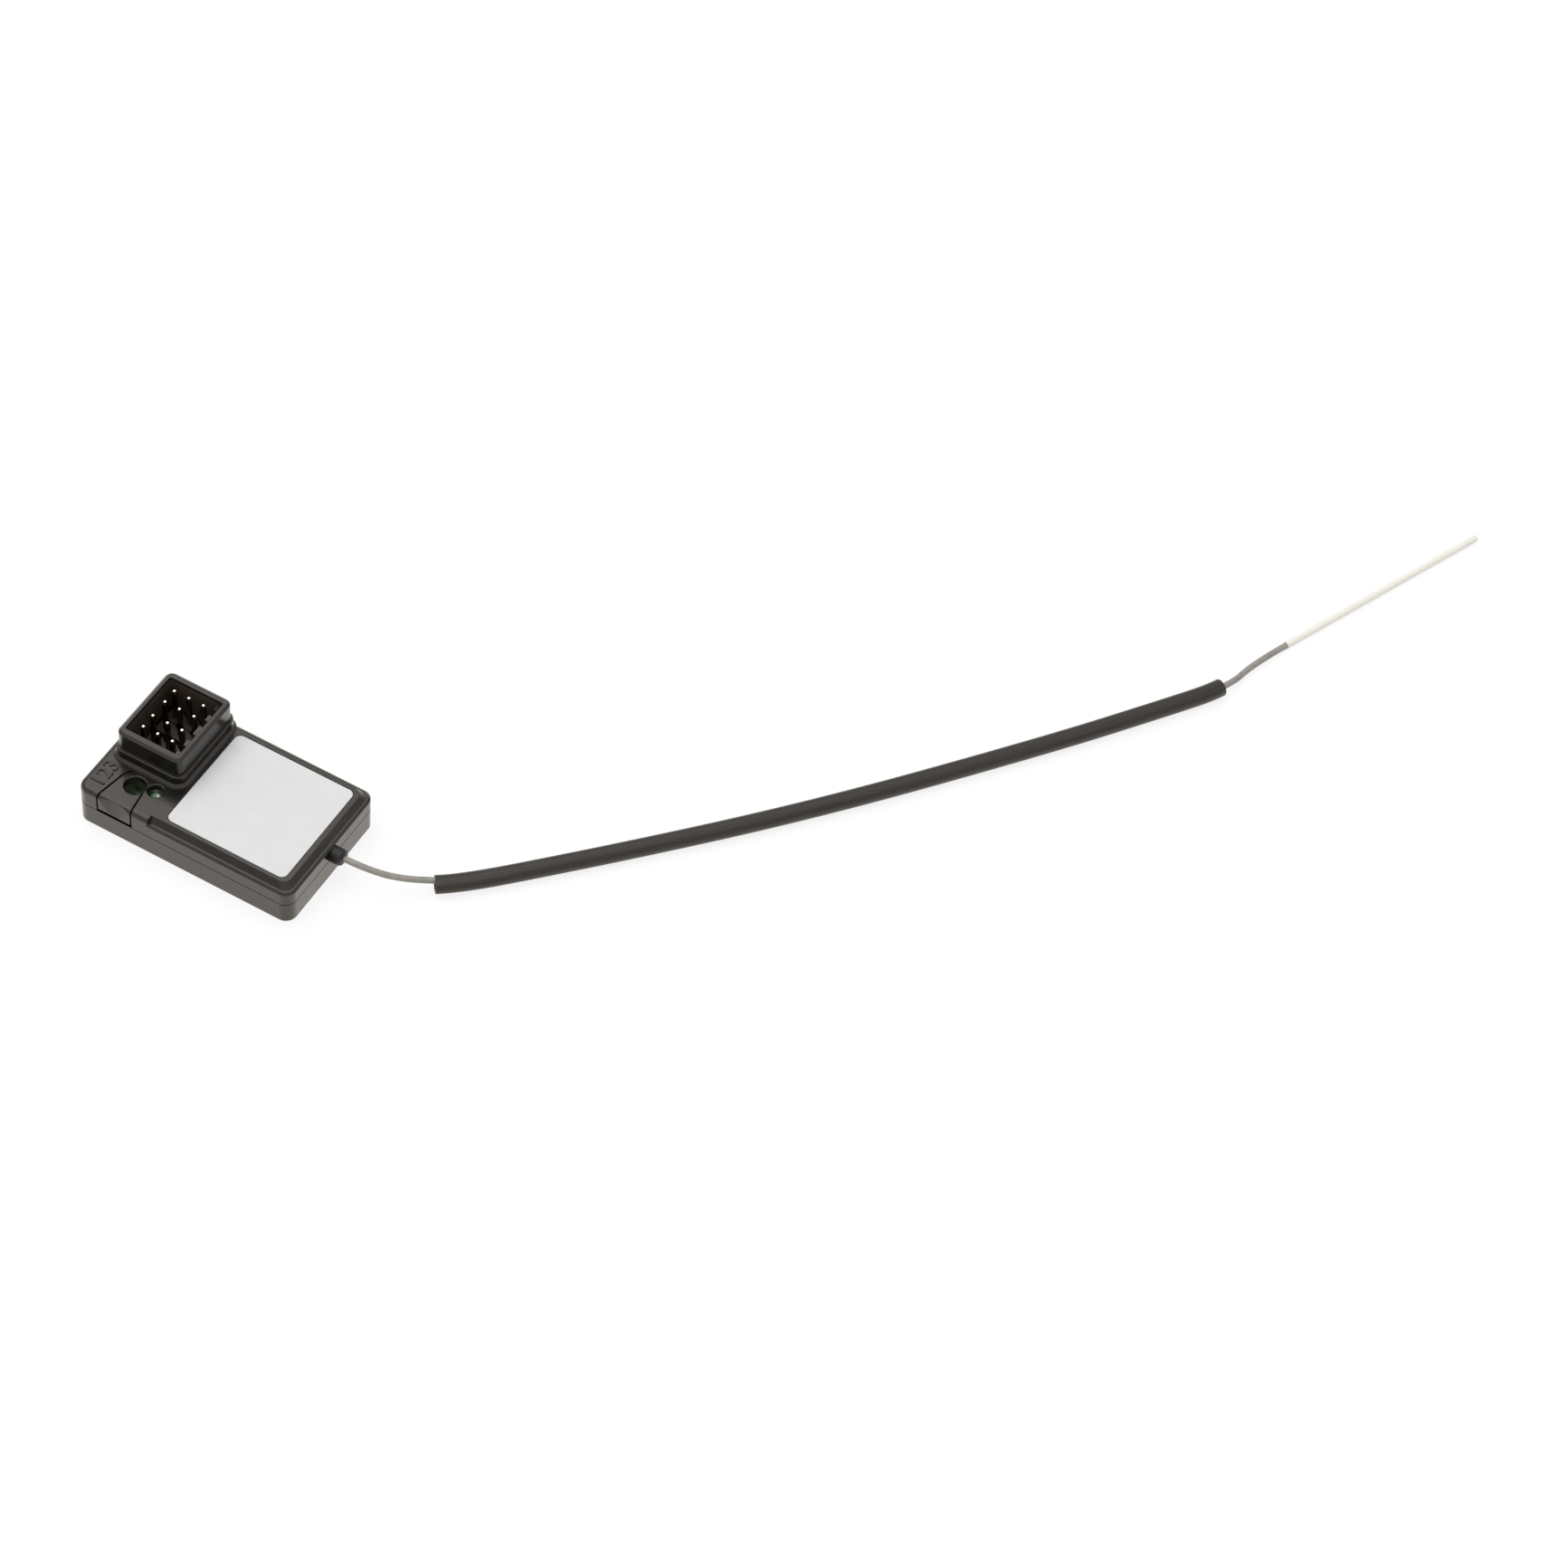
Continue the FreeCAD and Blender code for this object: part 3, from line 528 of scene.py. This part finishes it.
sleeve_tube, nodes, links, shader = start_material("sleeve_tube_black")
tube_place = nodes.new("ShaderNodeAttribute")
tube_place.attribute_name = "tube_place"
stretched = nodes.new("ShaderNodeMapping")
stretched.inputs["Scale"].default_value = (60.0, 5.0, 5.0)
streaks = nodes.new("ShaderNodeTexNoise")
streaks.inputs["Scale"].default_value = 1.6
streaks.inputs["Detail"].default_value = 4.0
links.new(tube_place.outputs["Vector"], stretched.inputs["Vector"])
links.new(stretched.outputs["Vector"], streaks.inputs["Vector"])
links.new(
    two_tones(nodes, links, streaks.outputs["Fac"], (0.0155, 0.014, 0.0125), (0.026, 0.0235, 0.021)),
    shader.inputs["Base Color"],
)
links.new(spread(nodes, links, streaks.outputs["Fac"], 0.36, 0.5), shader.inputs["Roughness"])
shader.inputs["Specular Tint"].default_value = (*case_sheen, 1.0)
shader.inputs["Specular IOR Level"].default_value = 0.42
links.new(bumped(nodes, links, streaks.outputs["Fac"], 0.25, 0.00006), shader.inputs["Normal"])

cable_points, cable_lengths = route_points(cable_route)
sleeve_first = run_near(cable_points, cable_lengths, sleeve_start)
sleeve_last = run_near(cable_points, cable_lengths, sleeve_end)
mesh = bmesh.new()
layer = mesh.verts.layers.float_vector.new("tube_place")
steps = round((sleeve_last - sleeve_first) / sleeve_step)
sleeve_rings = []
for i in range(steps + 1):
    run = sleeve_first + (sleeve_last - sleeve_first) * i / steps
    centre = point_at(cable_points, cable_lengths, run)
    ahead = point_at(cable_points, cable_lengths, run + sleeve_step / 2)
    behind = point_at(cable_points, cable_lengths, run - sleeve_step / 2)
    flatten = math.exp(-((run - sleeve_first) / mouth_reach) ** 2)
    centre += mouth_shift * flatten
    height = sleeve_diameter * (1 - (1 - mouth_squash) * flatten)
    width = sleeve_diameter * (1 + (1 - mouth_squash) * mouth_spread * flatten)
    centre.z = height / 2 + max(centre.z - sleeve_diameter / 2, 0.0) * settled_share
    heading = ahead - behind
    heading.z *= settled_share
    sleeve_rings.append(
        tube_ring(mesh, layer, centre, heading, width, height, sleeve_sides, run - sleeve_first)
    )
    for vert in sleeve_rings[-1]:
        turn = math.atan2(vert[layer].z, vert[layer].y)
        dent = crease_depth * math.exp(-((turn - crease_turn) / crease_width) ** 2)
        vert.co = vert.co.lerp(centre, dent)
join_rings(mesh, sleeve_rings)
bmesh.ops.recalc_face_normals(mesh, faces=mesh.faces)
antenna_sleeve = add_piece("antenna_sleeve_tube", mesh, sleeve_tube)
wall_inwards(antenna_sleeve, sleeve_wall, sleeve_edge)
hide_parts("antenna_sleeve")


# Antenna tip
# The last part of the antenna is its bare wire in a tube of cream-white plastic, cut square at the end.

tip_diameter = 0.0012
tip_wall = 0.00035
tip_step = 0.0012
tip_sides = 28
tip_edge = 0.00004
tip_route = [
    (0.11825, 0.1165, 0.00062),
    (0.1262, 0.135, 0.000615),
    (0.13415, 0.1535, 0.00061),
]

tip_tube, nodes, links, shader = start_material("tip_tube_cream")
cloud = object_noise(nodes, links, 420.0, 3.0)
links.new(
    two_tones(nodes, links, cloud.outputs["Fac"], (0.98, 0.945, 0.86), (0.995, 0.97, 0.90)),
    shader.inputs["Base Color"],
)
links.new(spread(nodes, links, cloud.outputs["Fac"], 0.3, 0.42), shader.inputs["Roughness"])

tip_points, tip_lengths = route_points(tip_route)
mesh = bmesh.new()
layer = mesh.verts.layers.float_vector.new("tube_place")
steps = round(tip_lengths[-1] / tip_step)
tip_rings = []
for i in range(steps + 1):
    run = tip_lengths[-1] * i / steps
    centre = point_at(tip_points, tip_lengths, run)
    ahead = point_at(tip_points, tip_lengths, min(run + tip_step, tip_lengths[-1]))
    behind = point_at(tip_points, tip_lengths, max(run - tip_step, 0.0))
    tip_rings.append(
        tube_ring(mesh, layer, centre, ahead - behind, tip_diameter, tip_diameter, tip_sides, run)
    )
join_rings(mesh, tip_rings)
bmesh.ops.recalc_face_normals(mesh, faces=mesh.faces)
antenna_tip = add_piece("antenna_tip_tube", mesh, tip_tube)
wall_inwards(antenna_tip, tip_wall, tip_edge)
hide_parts("antenna_tip")


# Cable bush
# A black rubber bush grips the wall of the case with its waist and leads the cable out. It is turned
# here from one profile round the cable.

bush_profile = [
    (0.01665, 0.0005),
    (0.01665, 0.0013),
    (0.0172, 0.0013),
    (0.0172, 0.0011),
    (0.0185, 0.0011),
    (0.0185, 0.00124),
    (0.01862, 0.0013),
    (0.0199, 0.0013),
    (0.0202, 0.00125),
    (0.02042, 0.0011),
    (0.0205, 0.0009),
    (0.0205, 0.00062),
    (0.02042, 0.0005),
]
bush_turns = 48

grommet_rubber, nodes, links, shader = start_material("grommet_rubber_black")
bloom = object_noise(nodes, links, 1500.0, 4.0)
links.new(
    two_tones(nodes, links, bloom.outputs["Fac"], (0.006, 0.0056, 0.0053), (0.011, 0.0103, 0.0098)),
    shader.inputs["Base Color"],
)
links.new(spread(nodes, links, bloom.outputs["Fac"], 0.42, 0.56), shader.inputs["Roughness"])
shader.inputs["Specular IOR Level"].default_value = 0.38
links.new(bumped(nodes, links, bloom.outputs["Fac"], 0.2, 0.00003), shader.inputs["Normal"])

mesh = bmesh.new()
bush_verts = [mesh.verts.new((x, 0.0, cable_exit[2] + radius)) for x, radius in bush_profile]
bush_edges = [mesh.edges.new(pair) for pair in zip(bush_verts, bush_verts[1:])]
bush_edges.append(mesh.edges.new((bush_verts[-1], bush_verts[0])))
bmesh.ops.spin(
    mesh,
    geom=bush_verts + bush_edges,
    cent=(0.0, 0.0, cable_exit[2]),
    axis=(1.0, 0.0, 0.0),
    angle=math.tau,
    steps=bush_turns,
    use_merge=True,
)
bmesh.ops.remove_doubles(mesh, verts=mesh.verts, dist=1e-7)
bmesh.ops.recalc_face_normals(mesh, faces=mesh.faces)
antenna_bush = add_piece("antenna_bush", mesh, grommet_rubber)
antenna_bush.data.set_sharp_from_angle(angle=cut_angle)
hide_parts("antenna_grommet")


# Table, light and camera
# The receiver lies on a plain white table under one large soft lamp, seen from the photograph's angle.

floor_size = 3.0
floor_drop = 0.00002
floor_tone = 0.85
floor_white = 0.22
floor_glow = 0.82
floor_mirrored = 0.4
floor_warmth = (1.0, 0.965, 0.91)
room_glow = 0.55
room_low = 0.4
room_high = 1.0
room_low_height = 0.05
room_high_height = 0.4
softbox_size = 1.1
softbox_power = 6.0
softbox_place = Vector((-0.25, 0.05, 1.0))
camera_azimuth = math.radians(24.122)
camera_elevation = math.radians(51.112)
camera_roll = math.radians(6.868)
camera_offset = Vector((0.081984, 0.005101, 0.665792))
camera_lens = 103.87


def seen_or_mirrored(nodes, links):
    """1 for rays from the camera, in reflections and through clear parts, and 0 for other rays."""
    path = nodes.new("ShaderNodeLightPath")
    first = nodes.new("ShaderNodeMath")
    first.operation = "MAXIMUM"
    second = nodes.new("ShaderNodeMath")
    second.operation = "MAXIMUM"
    links.new(path.outputs["Is Camera Ray"], first.inputs[0])
    links.new(path.outputs["Is Glossy Ray"], first.inputs[1])
    links.new(first.outputs["Value"], second.inputs[0])
    links.new(path.outputs["Is Transmission Ray"], second.inputs[1])
    return second.outputs["Value"]


table_white, nodes, links, shader = start_material("table_white")
shader.inputs["Base Color"].default_value = (floor_tone, floor_tone, floor_tone, 1.0)
shader.inputs["Roughness"].default_value = 0.9
shader.inputs["Specular IOR Level"].default_value = 0.0
seen_paint = nodes.new("ShaderNodeBsdfDiffuse")
seen_paint.inputs["Color"].default_value = (floor_white, floor_white, floor_white, 1.0)
seen_glow = nodes.new("ShaderNodeEmission")
floor_rays = nodes.new("ShaderNodeLightPath")
floor_strength = nodes.new("ShaderNodeMath")
floor_strength.operation = "MULTIPLY_ADD"
floor_strength.inputs[1].default_value = floor_mirrored
floor_strength.inputs[2].default_value = floor_glow
links.new(floor_rays.outputs["Is Glossy Ray"], floor_strength.inputs[0])
links.new(floor_strength.outputs["Value"], seen_glow.inputs["Strength"])
floor_colour = nodes.new("ShaderNodeMix")
floor_colour.data_type = "RGBA"
floor_colour.inputs["A"].default_value = (1.0, 1.0, 1.0, 1.0)
floor_colour.inputs["B"].default_value = (*floor_warmth, 1.0)
links.new(floor_rays.outputs["Is Glossy Ray"], floor_colour.inputs["Factor"])
links.new(floor_colour.outputs["Result"], seen_glow.inputs["Color"])
seen_both = nodes.new("ShaderNodeAddShader")
seen_choice = nodes.new("ShaderNodeMixShader")
links.new(seen_paint.outputs["BSDF"], seen_both.inputs[0])
links.new(seen_glow.outputs["Emission"], seen_both.inputs[1])
links.new(seen_or_mirrored(nodes, links), seen_choice.inputs["Fac"])
links.new(shader.outputs["BSDF"], seen_choice.inputs[1])
links.new(seen_both.outputs["Shader"], seen_choice.inputs[2])
links.new(seen_choice.outputs["Shader"], nodes["Material Output"].inputs["Surface"])

mesh = bmesh.new()
bmesh.ops.create_grid(mesh, x_segments=1, y_segments=1, size=floor_size)
bmesh.ops.translate(mesh, vec=(0.0, 0.0, -floor_drop), verts=mesh.verts)
table_data = bpy.data.meshes.new("table")
mesh.to_mesh(table_data)
mesh.free()
table_data.materials.append(table_white)
table = bpy.data.objects.new("table", table_data)
bpy.context.scene.collection.objects.link(table)

world = bpy.data.worlds.new("studio")
bpy.context.scene.world = world
world.use_nodes = True
nodes = world.node_tree.nodes
links = world.node_tree.links
room_light = nodes["Background"]
room_light.inputs["Color"].default_value = (1.0, 1.0, 1.0, 1.0)
room_light.inputs["Strength"].default_value = room_glow
room_seen = nodes.new("ShaderNodeBackground")
room_seen.inputs["Color"].default_value = (1.0, 1.0, 1.0, 1.0)
room_rays = nodes.new("ShaderNodeLightPath")
room_place = nodes.new("ShaderNodeTexCoord")
room_height = nodes.new("ShaderNodeSeparateXYZ")
room_rise = nodes.new("ShaderNodeMapRange")
room_rise.inputs["From Min"].default_value = room_low_height
room_rise.inputs["From Max"].default_value = room_high_height
room_rise.inputs["To Min"].default_value = room_low
room_rise.inputs["To Max"].default_value = room_high
room_strength = nodes.new("ShaderNodeMix")
room_strength.inputs["A"].default_value = 1.0
links.new(room_place.outputs["Generated"], room_height.inputs["Vector"])
links.new(room_height.outputs["Z"], room_rise.inputs["Value"])
links.new(room_rays.outputs["Is Glossy Ray"], room_strength.inputs["Factor"])
links.new(room_rise.outputs["Result"], room_strength.inputs["B"])
links.new(room_strength.outputs["Result"], room_seen.inputs["Strength"])
room_choice = nodes.new("ShaderNodeMixShader")
links.new(seen_or_mirrored(nodes, links), room_choice.inputs["Fac"])
links.new(room_light.outputs["Background"], room_choice.inputs[1])
links.new(room_seen.outputs["Background"], room_choice.inputs[2])
links.new(room_choice.outputs["Shader"], nodes["World Output"].inputs["Surface"])

lamp_data = bpy.data.lights.new("softbox", "AREA")
lamp_data.shape = "SQUARE"
lamp_data.size = softbox_size
lamp_data.energy = softbox_power
softbox = bpy.data.objects.new("softbox", lamp_data)
bpy.context.scene.collection.objects.link(softbox)
softbox.matrix_world = Matrix.LocRotScale(softbox_place, softbox_place.to_track_quat("Z", "Y"), None)

camera_data = bpy.data.cameras.new("photo_camera")
camera_data.sensor_width = 36.0
camera_data.lens = camera_lens
camera_data.clip_start = 0.01
camera_data.clip_end = 20.0
camera = bpy.data.objects.new("photo_camera", camera_data)
bpy.context.scene.collection.objects.link(camera)
camera_turn = (
    Matrix.Rotation(camera_azimuth, 3, "Z")
    @ Matrix.Rotation(math.pi / 2 - camera_elevation, 3, "X")
    @ Matrix.Rotation(camera_roll, 3, "Z")
)
camera.matrix_world = Matrix.Translation(camera_turn @ camera_offset) @ camera_turn.to_4x4()
bpy.context.scene.camera = camera
bpy.context.scene.view_settings.view_transform = "Standard"
